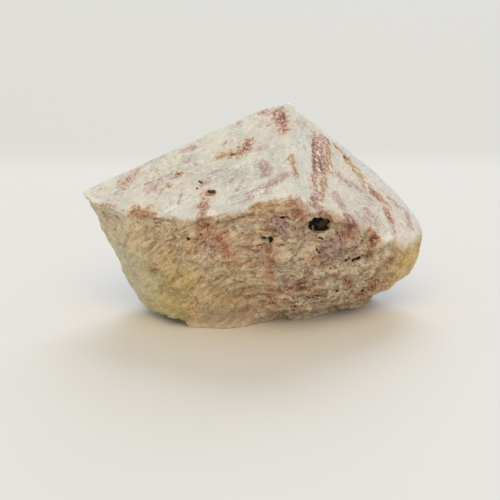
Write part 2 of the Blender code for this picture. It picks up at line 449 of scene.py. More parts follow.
outward = np.array([v.normal for v in skin.vertices])
links = np.array([edge.vertices for edge in skin.edges])
fade = np.clip(from_rim / FADES_FROM_RIM, 0, 1)
fade = np.where(broken, fade * fade * (3 - 2 * fade), 0)
near_rim = np.exp(-(from_rim / ROUNDED_WITHIN) ** 2) * (points[:, 2] > BASE_BAND)
from_lobe = np.linalg.norm(points - np.array(LOBE_MIDDLE), axis=1)
near_lobe = np.exp(-(from_lobe / LOBE_REACH) ** 2)
points = rounded(points, links, RIM_ROUNDING * near_rim, RIM_STEPS)
points = rounded(points, links, LOBE_ROUNDING * near_lobe, LOBE_STEPS)
points += outward * (fade * height + LOBE_SWELL * near_lobe)[:, None]
print("the highest point is now", round(points[:, 2].max(), 1), "mm up")

# %% [markdown]
# ## Where crystals and stains lie
#
# A crystal, a stain or a hole isn't painted on: it is a thing in the stone that shows where
# the surface cuts it. So each mark is a short rod in the stone: two ends, a half width in
# millimetres, and how strong it is. Its ends are named by the pixels of the camera's picture
# at which they meet the surface, and a ray from the camera finds those places on the skin, so
# a rod shows on every side that it reaches. A row with twice the same end is a round patch.

# %% Find places on the stone from pixels
skin_faces = bvhtree.BVHTree.FromPolygons(
    [Vector(p) for p in points], [f.vertices for f in skin.polygons])
eye = camera.location / MM
to_world = camera.matrix_world.to_3x3()
FOCAL_PIXELS = DISTANCE / PIXEL_WIDTH


def seen_at(pixel):
    """The place on the stone, in millimetres, that the camera sees at a pixel."""
    across, down = pixel
    ray = to_world @ Vector((across - PICTURE / 2, PICTURE / 2 - down, -FOCAL_PIXELS))
    place = skin_faces.ray_cast(eye, ray.normalized())[0]
    if place is None:
        raise ValueError(f"pixel {pixel} is off the stone")
    return np.array(place)


def depth_in(marks, points):
    """How far each point lies into the nearest mark: its strength on the middle line, 0 at
    the edge, and down to -1 outside."""
    deepest = np.full(len(points), -1.0)
    for start, end, half_width, strength in marks:
        along = end - start
        share = np.clip((points - start) @ along / max(along @ along, 1e-9), 0, 1)
        gap = np.linalg.norm(points - start - share[:, None] * along, axis=1)
        inside = 1 - gap / half_width
        deepest = np.maximum(deepest, np.where(inside > 0, strength * inside, inside))
    return deepest


def rods(rows):
    """The rows' pixels as places on the stone."""
    return [(seen_at(start), seen_at(end), half_width, strength)
            for start, end, half_width, strength in rows.values()]


print("the middle of the picture is at", seen_at((PICTURE / 2, PICTURE / 2)).round(1), "mm")

# %% [markdown]
# ## Tourmaline
#
# The crystals are pink to brick-red prisms that run down the stone from near its point. The
# polished faces cut them lengthwise, and the broken flank shows their ends as red patches.

# %% Name the tourmaline crystals
TOURMALINES = {
    "below_the_point": ((279, 113), (281, 121), 2.5, 1.8),
    "below_the_point_tail": ((283, 121), (284, 131), 2.2, 1.1),
    "on_the_ridge": ((264, 112), (270, 111), 1.5, 0.7),
    "upper_left_cluster": ((241, 153), (249, 144), 2.7, 1.5),
    "upper_left_rusty_end": ((221, 157), (236, 154), 1.8, 0.9),
    "front_needle": ((294, 162), (295, 175), 1.4, 1.2),
    "long_crystal": ((316, 138), (317, 172), 2.0, 2.2),
    "long_crystal_right": ((327, 140), (328, 170), 1.8, 1.2),
    "long_crystal_middle": ((321, 138), (322, 172), 1.8, 1.6),
    "long_crystal_foot": ((314, 176), (315, 204), 1.9, 1.0),
    "long_crystal_foot_right": ((324, 174), (322, 200), 1.9, 0.9),
    "speckled_at_the_rim": ((292, 203), (299, 199), 2.0, 0.8),
    "right_edge_top": ((334, 144), (341, 151), 1.1, 1.0),
    "right_edge_upper": ((348, 159), (355, 169), 1.4, 0.6),
    "right_edge_middle": ((358, 173), (364, 180), 1.5, 0.9),
    "right_edge_knot": ((372, 191), (378, 197), 2.0, 2.2),
    "right_edge_lower": ((381, 197), (389, 207), 1.4, 0.6),
    "right_edge_foot": ((387, 212), (391, 221), 1.9, 2.0),
    "right_edge_tail": ((393, 225), (394, 238), 1.1, 0.5),
    "left_crystal": ((124, 183), (135, 175), 1.5, 0.8),
    "left_rim": ((134, 209), (152, 212), 2.0, 0.35),
    "left_rim_end": ((103, 204), (115, 207), 1.0, 0.5),
    "through_the_rim": ((203, 206), (206, 226), 2.4, 1.8),
    "through_the_rim_top": ((203, 192), (206, 204), 1.6, 0.45),
    "red_under_the_right_rim": ((349, 219), (350, 234), 1.8, 0.8),
    "red_right_of_it": ((369, 228), (374, 236), 1.2, 1.1),
    "red_rod": ((373.5, 238), (369.5, 257), 1.5, 2.8),
    "red_middle_band": ((271, 246), (270, 262), 1.5, 0.6),
    "red_middle_band_low": ((270, 262), (271, 298), 1.2, 0.4),
    "red_left_of_centre": ((220, 238), (232, 262), 1.6, 0.6),
    "red_low_centre": ((291, 288), (303, 281), 1.6, 1.6),
    "red_low_speck": ((347, 280), (349, 285), 1.2, 1.8),
    "red_low_right": ((361, 292), (376, 284), 1.6, 1.8),
    "red_low_right_upper": ((372, 277), (378, 269), 1.2, 1.4),
    "red_by_the_vug": ((296, 212), (304, 222), 1.4, 0.55),
    "red_right_lobe": ((389, 262), (394, 255), 1.0, 0.5),
    "red_under_the_lilac": ((312, 262), (322, 256), 1.4, 0.9),
    "long_crystal_foot_end": ((311, 205), (322, 209), 2.2, 1.0),
    "red_at_the_right_rim": ((347, 218), (354, 222), 2.2, 2.0),
}
tourmalines = rods(TOURMALINES)
print(len(tourmalines), "tourmaline crystals in sight")

# %% [markdown]
# ## Iron stains
#
# Water carried iron along the crystals and into the cracks. Where there is much of it the
# stone is rusty brown, and where there is little it is ochre to yellow.

# %% Name the rust and the ochre
RUSTS = {
    "lobe_patch": ((388, 264), (398, 257), 2.4, 1.1),
    "lobe_patch_red": ((379, 252), (382, 262), 1.3, 0.9),
    "red_rod": ((372, 242), (369, 258), 1.0, 0.5),
    "between_the_slots": ((344, 268), (352, 262), 1.4, 0.3),
    "upper_left": ((219, 156), (234, 154), 1.8, 0.8),
    "upper_left_arch": ((224, 144), (240, 139), 1.0, 0.4),
    "left_pit_ring": ((178, 174), (178, 174), 1.6, 1.8),
    "orange_ring": ((197, 164), (197, 164), 1.3, 1.2),
    "tan_blob": ((163, 189), (168, 186), 1.2, 0.6),
    "long_crystal_right": ((329, 146), (331, 172), 1.5, 0.8),
    "long_crystal_foot": ((325, 178), (323, 192), 1.8, 0.8),
    "front_needle": ((292, 157), (293.5, 163), 1.3, 1.2),
    "right_edge": ((345, 156), (362, 179), 2.6, 0.9),
    "right_edge_low": ((380, 196), (391, 220), 1.5, 0.5),
    "left_rim": ((134, 209), (152, 212), 2.4, 0.7),
    "through_the_rim": ((200, 218), (212, 226), 2.2, 0.8),
    "centre": ((232, 268), (262, 272), 3.0, 0.35),
    "centre_left": ((225, 262), (236, 276), 2.2, 0.6),
    "low_centre": ((303, 282), (309, 291), 1.8, 1.0),
    "low_centre_right": ((322, 284), (324, 294), 1.4, 0.9),
    "low_right": ((362, 291), (376, 285), 1.8, 1.0),
    "foot_edge": ((270, 303), (273, 318), 2.2, 0.6),
    "low_edge": ((346, 305), (372, 292), 2.0, 0.5),
    "right_edge_start": ((336, 146), (344, 155), 1.2, 0.5),
    "rim_brown": ((260, 206), (272, 204), 2.4, 0.9),
    "rim_crevice": ((222, 222), (255, 214), 1.8, 0.5),
    "right_edge_knots": ((352, 163), (357, 170), 1.8, 0.8),
}
OCHRES = {
    "rim_centre": ((256, 206), (288, 203), 3.0, 0.6),
    "rim_right_of_centre": ((292, 205), (309, 210), 2.6, 0.5),
    "rim_left": ((112, 208), (150, 212), 1.5, 0.4),
    "face_above_the_pit": ((150, 172), (182, 166), 4.0, 0.15),
    "under_the_ridge": ((296, 122), (318, 132), 3.5, 0.3),
    "fibrous_left": ((165, 262), (190, 282), 8.0, 0.7),
    "left_middle": ((188, 245), (200, 258), 5.0, 0.6),
    "yellow_foot": ((165, 300), (192, 304), 4.0, 0.7),
    "yellow_patch_right": ((357, 240), (364, 238), 2.0, 2.6),
    "yellow_band": ((282, 246), (318, 262), 3.6, 0.8),
    "lobe": ((390, 268), (402, 262), 3.0, 0.8),
    "lobe_wide": ((395, 270), (412, 250), 5.0, 0.6),
    "under_the_rim": ((225, 232), (262, 228), 4.0, 0.5),
    "foot_top": ((225, 300), (262, 296), 3.5, 0.6),
    "low_right": ((320, 300), (345, 308), 3.5, 0.5),
    "right_strip": ((352, 154), (372, 172), 3.0, 0.25),
}
print(len(RUSTS), "rust stains and", len(OCHRES), "ochre patches")

# %% [markdown]
# ## Mica and mauve smears
#
# Lilac mica sits in scaly books in the broken flank. On the polished faces the same mineral
# shows as mauve smears and streaks.

# %% Name the lilac places
LILACS = {
    "mica_book": ((324, 249), (340, 244), 2.9, 1.4),
    "below_it": ((330, 256), (343, 258), 1.8, 0.7),
    "above_left": ((277, 222), (284, 230), 2.2, 0.8),
    "above_left_low": ((283, 229), (290, 234), 1.6, 0.7),
    "left_of_centre": ((212, 240), (222, 248), 2.2, 0.6),
    "right_rim": ((346, 228), (353, 240), 2.2, 1.1),
    "through_the_rim": ((203, 205), (206, 215), 1.6, 0.5),
    "smear_top_left": ((237, 126), (241, 122), 1.2, 0.4),
    "smear_under_the_ridge": ((262, 123), (270, 124), 1.2, 0.4),
    "smear_left": ((183, 151), (195, 147), 1.4, 0.5),
    "smear_middle": ((259, 149), (267, 146), 1.1, 0.35),
    "smear_right_of_the_point": ((304, 123), (308, 126), 1.0, 0.4),
    "smear_low_left": ((150, 191), (168, 180), 2.2, 0.35),
    "smear_by_the_pit": ((204, 184), (212, 178), 1.5, 0.4),
    "smear_right": ((365, 188), (372, 203), 1.5, 0.35),
    "slanting_streak": ((264, 188), (286, 175), 1.9, 1.0),
    "mauve_patch": ((263, 165), (267, 174), 2.3, 1.2),
    "right_rim_haze": ((348, 218), (378, 224), 3.0, 0.5),
    "slanting_streak_foot": ((253, 196), (266, 188), 2.4, 0.8),
    "grey_pink_smear": ((339, 176), (347, 183), 1.9, 1.0),
    "smear_below_it": ((353, 184), (359, 189), 1.4, 0.7),
    "small_red": ((336, 196), (342, 206), 1.9, 1.2),
    "mauve_speck": ((366, 210), (370, 214), 1.8, 1.5),
    "mauve_specks_low": ((360, 217), (370, 219), 1.6, 0.8),
    "faint_at_the_right": ((406, 212), (410, 226), 1.6, 0.7),
    "fork": ((388, 197), (397, 206), 1.1, 0.8),
    "left_crystal": ((121, 185), (137, 173), 2.2, 0.8),
    "on_the_ridge": ((264, 112), (271, 111), 2.0, 1.0),
    "streak_left": ((146, 184), (160, 179), 0.6, 1.0),
    "streak_left_low": ((146, 194), (156, 187), 0.6, 1.0),
    "streak_above": ((184, 152), (196, 147), 0.6, 0.9),
    "streak_above_low": ((186, 163), (193, 156), 0.6, 0.9),
    "streak_by_the_rim": ((178, 204), (181, 195), 0.6, 1.0),
    "streak_grey": ((230, 182), (238, 174), 0.7, 0.8),
    "streak_grey_right": ((237, 190), (243, 180), 0.6, 0.7),
    "dot_left_of_the_pit": ((181, 188), (183, 189), 0.8, 1.0),
}
print(len(LILACS), "lilac places")

# %% [markdown]
# ## Clouds in the quartz
#
# Milky quartz isn't one white. Some of it is smoky grey, some has a blush of pink, and some is
# chalk white, as fresh breaks and healed cracks are. The white rows named for glints are
# painted highlights, and two grey rows are painted shade in a hollow and under the rim.

# %% Name the grey, pink and white clouds
# Two rows here are painted shade: the grey in the low hollow above the foot and in the crevice
# under the rim. The foot row makes the foot darker at the bottom of the front.
SMOKES = {
    "left_face_grey": ((192, 174), (244, 176), 9.0, 0.6),
    "left_face_pit": ((198, 180), (214, 198), 3.0, 0.5),
    "right_face_mauve": ((352, 186), (378, 206), 3.5, 0.5),
    "painted_shade_in_the_low_hollow": ((230, 290), (256, 288), 3.4, 0.9),
    "blue_left_centre": ((198, 266), (208, 270), 2.6, 0.6),
    "blue_right": ((333, 272), (356, 276), 3.2, 0.3),
    "left_flank": ((150, 235), (163, 250), 5.0, 0.5),
    "painted_shade_under_the_rim": ((228, 219), (262, 213), 2.0, 0.3),
    "left_low": ((205, 250), (220, 275), 3.5, 0.5),
    "right_rim_grey": ((386, 232), (392, 238), 1.4, 0.4),
    "blue_streaks": ((223, 186), (236, 178), 1.8, 0.5),
    "foot": ((212, 313), (254, 313), 6.0, 0.8),
    "centre_face": ((262, 170), (300, 184), 8.0, 0.4),
    "inside_the_vug": ((321, 224), (325, 222), 0.9, 0.8),
    "inside_the_face_pit": ((207, 192), (212, 192), 1.2, 1.4),
}
BLUSHES = {
    "right_rim_haze": ((346, 222), (386, 232), 4.5, 0.8),
    "below_the_lilac": ((306, 276), (336, 262), 5.0, 0.8),
    "around_the_vug": ((296, 214), (304, 236), 3.5, 0.6),
    "left_face_low": ((142, 190), (184, 186), 7.0, 0.7),
    "left_face_end": ((100, 197), (128, 196), 4.5, 0.6),
    "left_face_top": ((176, 152), (200, 144), 5.0, 0.6),
    "under_the_point": ((262, 113), (285, 124), 6.0, 0.8),
    "upper_left_cluster": ((218, 150), (248, 146), 4.5, 0.7),
    "long_crystal": ((320, 140), (321, 204), 4.5, 0.6),
    "right_face_rim": ((385, 205), (412, 222), 5.0, 0.7),
    "foot": ((206, 316), (258, 312), 7.0, 1.0),
    "middle": ((235, 262), (262, 268), 5.5, 0.6),
    "low_centre": ((275, 272), (300, 276), 5.0, 0.7),
    "right_of_lilac": ((346, 250), (366, 266), 5.0, 0.8),
    "by_the_vug": ((288, 240), (306, 236), 4.0, 0.5),
    "left_of_centre": ((192, 232), (205, 240), 3.5, 0.4),
    "low_right": ((312, 288), (352, 280), 5.5, 0.7),
}
WHITES_AND_GLINTS = {
    "ledge_under_the_vug": ((320, 235), (331, 233), 1.5, 0.9),
    "tongue": ((377, 245), (390, 238), 2.0, 0.8),
    "line_under_the_small_vug": ((267, 243.5), (284, 242), 0.7, 0.8),
    "ledge_right": ((362, 262), (386, 254), 1.2, 0.7),
    "beds_low_right": ((330, 284), (352, 284), 2.6, 0.6),
    "speck": ((318, 270), (322, 276), 1.5, 0.4),
    "rim_glint_left": ((166, 211), (176, 206), 0.9, 0.8),
    "left_peak": ((150, 222), (156, 216), 1.6, 0.7),
    "chip_by_the_rim": ((210, 213), (222, 217), 1.2, 0.6),
    "left_tip": ((87, 196), (99, 204), 1.3, 0.7),
    # These glint rows, and rim_glint_left above, are painted highlights.
    "glint_long_crystal": ((318, 152), (319, 155), 0.6, 1.0),
    "glint_long_crystal_low": ((317, 168), (320, 171), 0.6, 0.9),
    "glint_long_crystal_right": ((330, 166), (331, 170), 0.6, 0.9),
    "glint_right_edge_upper": ((355, 169), (357, 171), 0.5, 0.8),
    "glint_right_edge": ((364, 179), (366, 181), 0.5, 0.9),
    "glints_slanting": ((255, 195), (262, 191), 1.6, 0.5),
    "beds_right": ((350, 268), (380, 262), 3.0, 0.5),
    "beds_centre": ((286, 252), (308, 250), 2.4, 0.4),
    "left_of_the_long_crystal": ((232, 232), (256, 226), 2.0, 0.35),
}
print(len(SMOKES), "grey,", len(BLUSHES), "pink and", len(WHITES_AND_GLINTS), "white clouds")

# %% [markdown]
# ## Dark needles, chips and holes
#
# A few thin dark needles lie along the red crystals. At the rim, chips broke off after the
# stone was polished, so no polish is left there. The holes are where small crystals fell out:
# the vug under the rim, a pit in the left face, two slots, and specks. They are sunk, and the
# material paints them near black inside, as painted shade.

# %% Name the needles, the chips and the holes
SCHORLS = {
    "below_the_point": ((281, 114), (285, 120), 1.1, 1.0),
    "upper_left_cluster": ((242, 152), (250, 144), 1.0, 0.8),
    "long_crystal_edge": ((313, 139), (314, 170), 0.9, 1.0),
    "long_crystal_low": ((319, 158), (322, 171), 1.0, 0.8),
    "long_crystal_foot": ((311, 196), (314, 208), 0.8, 0.7),
    "right_edge_knot": ((370, 189), (378, 198), 0.8, 0.8),
    "right_edge_top": ((343, 154), (346, 159), 0.5, 0.9),
    "right_edge_foot": ((385, 211), (389, 219), 0.8, 0.8),
    "through_the_rim": ((201, 214), (206, 226), 1.0, 0.8),
    "left_rim": ((138, 210), (144, 213), 0.7, 0.6),
    "red_under_the_right_rim": ((347, 219), (350, 228), 0.9, 0.7),
    "red_rod": ((376, 243), (372, 256), 0.6, 0.8),
    "above_left_lilac": ((280, 228), (287, 234), 0.8, 0.8),
    "lilac_foot": ((320, 248), (328, 256), 0.7, 0.7),
    "low_centre": ((294, 287), (304, 283), 0.7, 0.9),
    "low_right": ((363, 291), (374, 286), 0.8, 0.8),
    "left_middle": ((172, 235), (176, 238), 0.5, 0.9),
}
CHIPS = {
    "rim_centre": ((258, 207), (288, 206), 3.4, 1.0),
    "rim_by_the_vug": ((291, 207), (304, 209), 2.6, 0.9),
    "left_rim": ((134, 214), (152, 216), 2.0, 0.6),
}
# The material paints these holes near black inside, as painted shade in the hollows.
HOLES = {
    "vug_left": ((313, 228), (315, 220), 1.6, 1.0),
    "vug_bottom": ((317, 227.5), (326, 227), 1.1, 1.0),
    "vug_top": ((317, 220), (327, 222), 1.0, 1.0),
    "vug_inside": ((319, 224.5), (325, 224.5), 1.2, 0.6),
    "small_vug": ((269, 240), (270, 239), 0.95, 1.0),
    "small_vug_left": ((263.5, 236.5), (264.5, 237), 0.6, 0.9),
    "face_pit": ((209, 192), (215, 192), 0.6, 0.55),
    "left_pit": ((178, 174), (179, 174), 0.4, 0.9),
    "slot_left": ((345.5, 261), (349, 257.5), 0.5, 1.2),
    "slot_right": ((353.5, 260.5), (359.5, 258), 0.55, 1.1),
    "right_edge_hole": ((344, 156.5), (345, 157.5), 0.45, 0.9),
    "speck_by_the_rim": ((198.5, 180.5), (202, 183), 0.4, 0.8),
    "speck_below_it": ((196.5, 188), (197, 188.5), 0.4, 0.9),
    "left_holes": ((187, 238), (189, 239), 0.5, 0.9),
    "left_hole_high": ((201, 234), (201, 234), 0.4, 0.7),
    "left_hole_upper": ((184, 236), (184, 236), 0.3, 0.7),
    "lilac_left": ((317, 249), (320, 253), 0.45, 0.6),
    "under_the_vug": ((320, 238), (323, 239), 0.5, 0.9),
    "right_of_the_vug": ((336, 235), (338, 233), 0.4, 0.7),
    "above_left": ((281, 217), (284, 218), 0.6, 0.6),
    "dot_at_the_right_rim": ((378, 216), (378, 216), 0.35, 0.7),
    "dot_in_yellow": ((368, 231), (368, 231), 0.4, 0.8),
    "lobe_dot": ((397, 278.5), (397, 278.5), 0.4, 0.7),
    "low_dash": ((335, 293), (338, 291), 0.45, 0.7),
    "red_end": ((361, 291), (363, 290.5), 0.5, 0.8),
    "rusty_end_hole": ((231, 154.5), (234, 154), 0.4, 0.8),
}
print(len(SCHORLS), "needles,", len(CHIPS), "chips and", len(HOLES), "holes")

# %% [markdown]
# ## Cracks
#
# Cracks run along the beds and under the rim. They are sunk as grooves and painted dark
# brown, as the shade below ledges and in crevices. Each is a half width, a strength and the
# pixels that it runs through, and becomes one rod from each of them to the next.

# %% Name the cracks
SHADED_CRACKS = {
    "under_the_left_rim": (0.35, 0.5, (101, 205.5), (107, 209.5), (121, 214), (132, 217.5)),
    "left_overhang": (0.35, 0.7, (131, 219), (139, 223), (148, 228)),
    "left_overhang_rise": (0.35, 0.8, (147, 228), (154, 221)),
    "left_arch": (0.4, 0.9, (154, 219), (161, 218.5), (171, 222), (176, 230)),
    "left_short": (0.3, 0.6, (169, 216), (175, 217)),
    "left_dash": (0.35, 0.7, (194.5, 270.5), (198.5, 268)),
    "yellow_foot_edge": (0.4, 0.5, (183, 302.5), (193, 303.5)),
    "foot_corner": (0.5, 0.6, (195.5, 297), (197.5, 303.5)),
    "rim_crevice": (0.7, 0.6, (217, 223), (229, 222), (238, 218), (253, 214.5)),
    "centre_left": (0.35, 0.6, (227, 251.5), (235, 254.5)),
    "centre_left_upper": (0.3, 0.5, (236, 249), (245, 248)),
    "centre_short": (0.3, 0.6, (252, 267), (257, 266)),
    "band_short": (0.35, 0.8, (273, 268), (278, 268)),
    "centre_right": (0.3, 0.7, (290, 268.5), (299, 268.5), (304, 267.5)),
    "above_the_dark_hollow": (0.45, 0.8, (234, 280.5), (246, 284)),
    "low_centre": (0.35, 0.6, (257, 286.5), (268, 286)),
    "low_red": (0.5, 0.8, (289, 289), (304, 283.5)),
    "low_dash": (0.35, 0.7, (301, 296), (307, 297)),
    "foot_top": (0.35, 0.4, (200, 305), (216, 302)),
    "under_the_white_line": (0.35, 0.6, (268, 246), (286, 244.5)),
    "right_bed": (0.3, 0.6, (331, 271.5), (346, 272)),
    "right_bed_low": (0.35, 0.7, (335, 281.5), (343, 278)),
    "under_the_yellow": (0.35, 0.7, (363, 242), (371, 240)),
    "right_bed_lower": (0.3, 0.6, (318, 287), (332, 286)),
    "right_bed_upper": (0.3, 0.5, (344, 264.5), (362, 263)),
    "low_right_edge": (0.5, 0.6, (316, 313), (340, 310)),
}


def crack_rods(rows):
    """Each crack as a rod from each of its pixels to the next."""
    return [(seen_at(start), seen_at(end), half_width, strength)
            for half_width, strength, *run in rows.values() for start, end in zip(run, run[1:])]


print(len(SHADED_CRACKS), "cracks")

# %% Turn every row into rods
minerals = {
    "crack": crack_rods(SHADED_CRACKS),
    "rust": rods(RUSTS), "ochre": rods(OCHRES), "lilac": rods(LILACS), "smoke": rods(SMOKES),
    "blush": rods(BLUSHES), "white": rods(WHITES_AND_GLINTS), "schorl": rods(SCHORLS), "hole": rods(HOLES),
}
chips = rods(CHIPS)
print({name: len(marks) for name, marks in minerals.items()})

# %% [markdown]
# ## The sides that face away
#
# The stone is looked at from all round, so the sides that the camera doesn't see get the same
# minerals at about the same density. A seeded random choice gives places on the skin that
# face away. Each crystal there is a rod that runs roughly the way the others do, with rust
# beside it. A rod is only put where it is too far away to reach into the side in sight.

# %% Find places out of sight
TURNED_AWAY = -0.1  # a point whose normal leans away from the camera by at least this
ABOVE_BASE = 2.0  # millimetres, so that the base stays plain
LEAN_SPREAD = 0.5  # how far a rod's direction strays
CRYSTALS_STAND = (0.15, 0.35, 1.0)  # the way they run, nearly upright
CRACKS_RUN = (1.0, 0.4, 0.2)  # the way they run, nearly level

chance = random.Random(11)
towards_eye = np.array(eye) - points
towards_eye /= np.linalg.norm(towards_eye, axis=1)[:, None]
faces_eye = (outward * towards_eye).sum(axis=1)
hidden = np.flatnonzero((faces_eye < TURNED_AWAY) & (points[:, 2] > ABOVE_BASE))
from_sight = gap_to(points[hidden], points[faces_eye > 0])


def rod_out_of_sight(length, half_width, strength, stand=CRYSTALS_STAND):
    """A rod along the skin at a random place that the camera doesn't see."""
    far_enough = hidden[from_sight > half_width + length / 2]
    i = chance.choice(list(far_enough))
    lean = np.array(stand) + [chance.uniform(-LEAN_SPREAD, LEAN_SPREAD) for _ in range(3)]
    lean -= (lean @ outward[i]) * outward[i]
    lean *= length / 2 / max(np.linalg.norm(lean), 1e-6)
    return (points[i] - lean, points[i] + lean, half_width, strength)


print(len(hidden), "points face away")

# %% Scatter crystals and stains over the other sides
CRYSTALS_AWAY = 40
CRYSTAL_LENGTHS, CRYSTAL_HALF_WIDTHS, CRYSTAL_STRENGTHS = (2, 10), (0.5, 1.7), (0.5, 1.0)
RUSTY_SHARE = 0.6  # of the crystals
RUST_WIDER, RUST_WEAKER = 1.3, 0.8  # than the crystal that it lies on
# How many of each, and how long and how wide they are on average, in millimetres.
SCATTERED = {
    "rust": (14, 5, 1.8), "ochre": (12, 7, 4.0), "lilac": (8, 4, 1.9), "smoke": (12, 6, 3.0),
    "blush": (9, 6, 5.0), "white": (10, 6, 1.4), "schorl": (16, 3, 0.7),
    "hole": (12, 0.8, 0.5), "crack": (26, 8, 0.35),
}
SIZE_SPREAD, STRENGTH_SPREAD = (0.5, 1.3), (0.4, 1.0)

for _ in range(CRYSTALS_AWAY):
    length, half_width = chance.uniform(*CRYSTAL_LENGTHS), chance.uniform(*CRYSTAL_HALF_WIDTHS)
    crystal = rod_out_of_sight(length, half_width, chance.uniform(*CRYSTAL_STRENGTHS))
    tourmalines.append(crystal)
    if chance.random() < RUSTY_SHARE:
        start, end, half_width, strength = crystal
        minerals["rust"].append((start, end, RUST_WIDER * half_width, RUST_WEAKER * strength))
for kind, (count, length, half_width) in SCATTERED.items():
    stand = CRACKS_RUN if kind == "crack" else CRYSTALS_STAND
    for _ in range(count):
        stretch = chance.uniform(*SIZE_SPREAD)
        minerals[kind].append(rod_out_of_sight(
            length * stretch, half_width * stretch, chance.uniform(*STRENGTH_SPREAD), stand))
minerals["tourmaline"] = tourmalines
print(len(tourmalines), "crystals in all")

# %% [markdown]
# ## Write what each point is made of
#
# How deep each point lies in each mineral is measured on the skin as it is, and then the
# holes and cracks are sunk, so that they are real hollows. The measures are kept as named
# attributes on the skin's points, which the material reads. `polish` is how far a point lies
# inside the polished faces, or outside them where it is negative.

# %% Sink the holes
HOLE_DEPTH = 1.1
CRACK_DEPTH = 0.7

depths = {kind: depth_in(marks, points) for kind, marks in minerals.items()}
sink = HOLE_DEPTH * np.clip(depths["hole"], 0, 1)
sink += CRACK_DEPTH * np.clip(depths["crack"], 0, 1) * broken
chipped = np.clip(depth_in(chips, points), 0, 1)
points -= outward * (sink * (points[:, 2] > BASE_BAND))[:, None]
inside = np.clip(points, np.array(lowest) / MM, np.array(highest) / MM)
skin.vertices.foreach_set("co", (inside * MM).ravel())
skin.update()
print(int((sink > 0).sum()), "points are sunk, by up to", round(sink.max(), 2), "mm")

# %% Store the attributes
POLISH_REACH = 4.0  # from the rim, after which more distance makes no difference
CHIP_REACH = 7.0  # how far past the rim a chip counts, so that no polish is left in it


def store(name, values):
    """Keeps one number per point of the skin under a name that a material can read."""
    kept = skin.attributes.new(name, "FLOAT", "POINT")
    kept.data.foreach_set("value", np.asarray(values, np.float32))


for kind, depth in depths.items():
    store(kind, depth)
polish = np.where(ground, from_rim, -from_rim).clip(-POLISH_REACH, POLISH_REACH)
store("polish", polish - CHIP_REACH * chipped)
store("relief", height * fade)
store("coarseness", coarseness)
skin.shade_smooth()
print("the skin carries", sorted(a.name for a in skin.attributes if a.data_type == "FLOAT"))

# %% [markdown]
# ## The material
#
# The stone is milky quartz (IOR 1.54), cloudy white from countless tiny bubbles, with pink
# tourmaline prisms in it. Where it was ground and polished it has a soft gloss and its
# clouds, cracks and crystals show as flat colour. Where it broke it is matt, beige from
# feldspar and clay, and iron has stained its low places brown. One material makes both, and
# the `polish` attribute chooses between them, because the crystals run through the rim.
# Scales are in millimetres: the object's own coordinates are divided by one millimetre first.
#
# `speckle` is a pattern of noise. `coat` lays a colour over another where a pattern rises from
# one level to a second, or falls to it, and `vein` does the same for a mineral, whose edge a
# pattern frays. `layers` lays one row after another, so that each look below is a short table:
# the colour, the pattern, its two levels, the most that the colour covers, and where. A vein's
# row has the mineral before these, and how far its edge frays after the pattern.

# %% Read the stone's coordinates and attributes
SLOT = "tourmaline_in_quartz"
stone_material = new_material(SLOT)
tree = stone_material.node_tree
metres = add(tree, "ShaderNodeTexCoord").outputs["Object"]
place = add(tree, "ShaderNodeVectorMath", {
    0: metres, 1: (1 / MM,) * 3}, operation="MULTIPLY").outputs[0]
field = {
    name: add(tree, "ShaderNodeAttribute", attribute_name=name).outputs["Fac"]
    for name in (*minerals, "polish", "relief", "coarseness")
}
print("the material reads", len(field), "attributes")


# %% Patterns, coats and veins
def speckle(size, detail=3.0, roughness=0.6, along=1.0, warp=0.0, within=place):
    """Noise whose blotches are about this many millimetres across, and longer along X."""
    spaced = add(tree, "ShaderNodeMapping", {
        "Vector": within, "Scale": (size * along, size, size)}, vector_type="TEXTURE")
    return add(tree, "ShaderNodeTexNoise", {
        "Vector": spaced.outputs[0], "Scale": 1.0, "Detail": detail, "Roughness": roughness,
        "Distortion": warp}).outputs["Fac"]


def easing(pattern, low, high, most=1.0, where=1.0):
    """0 where the pattern is at the low level, easing to the most from the high level on, and
    that times another amount."""
    eased = add(tree, "ShaderNodeMapRange", {
        "Value": pattern, "From Min": low, "From Max": high, "To Max": most,
    }, interpolation_type="SMOOTHSTEP").outputs[0]
    return add(tree, "ShaderNodeMath", {0: eased, 1: where}, operation="MULTIPLY").outputs[0]


def coat(below, colour, pattern, low, high, most=1.0, where=1.0):
    """A colour over another, by the share that the pattern gives."""
    share = easing(pattern, low, high, most, where)
    upper = linear(colour) if isinstance(colour, str) else colour
    return add(tree, "ShaderNodeMix", {
        FACTOR: share, FIRST: below, SECOND: upper}, data_type="RGBA").outputs[MIXED]


def vein(below, mineral, colour, pattern, fraying, low, high, most=1.0, where=1.0):
    """A mineral's colour over another, by how deep in it a point lies. The pattern frays its
    edge by so much."""
    frayed = add(tree, "ShaderNodeMath", {0: pattern, 1: fraying, 2: field[mineral]},
                 operation="MULTIPLY_ADD").outputs[0]
    return coat(below, colour, frayed, low + fraying / 2, high + fraying / 2, most, where)


def layers(lay, below, *rows):
    """Lays row after row with `coat` or `vein`. A row is what that takes after `below`."""
    for row in rows:
        below = lay(below, *row)
    return below


print("the tree starts with", len(tree.nodes), "nodes")

# %% [markdown]
# ## Where the polish ends
#
# The rim isn't a clean line. A noise added to the distance from the rim makes the polish
# wander over it, and a band of distances makes it thin out.

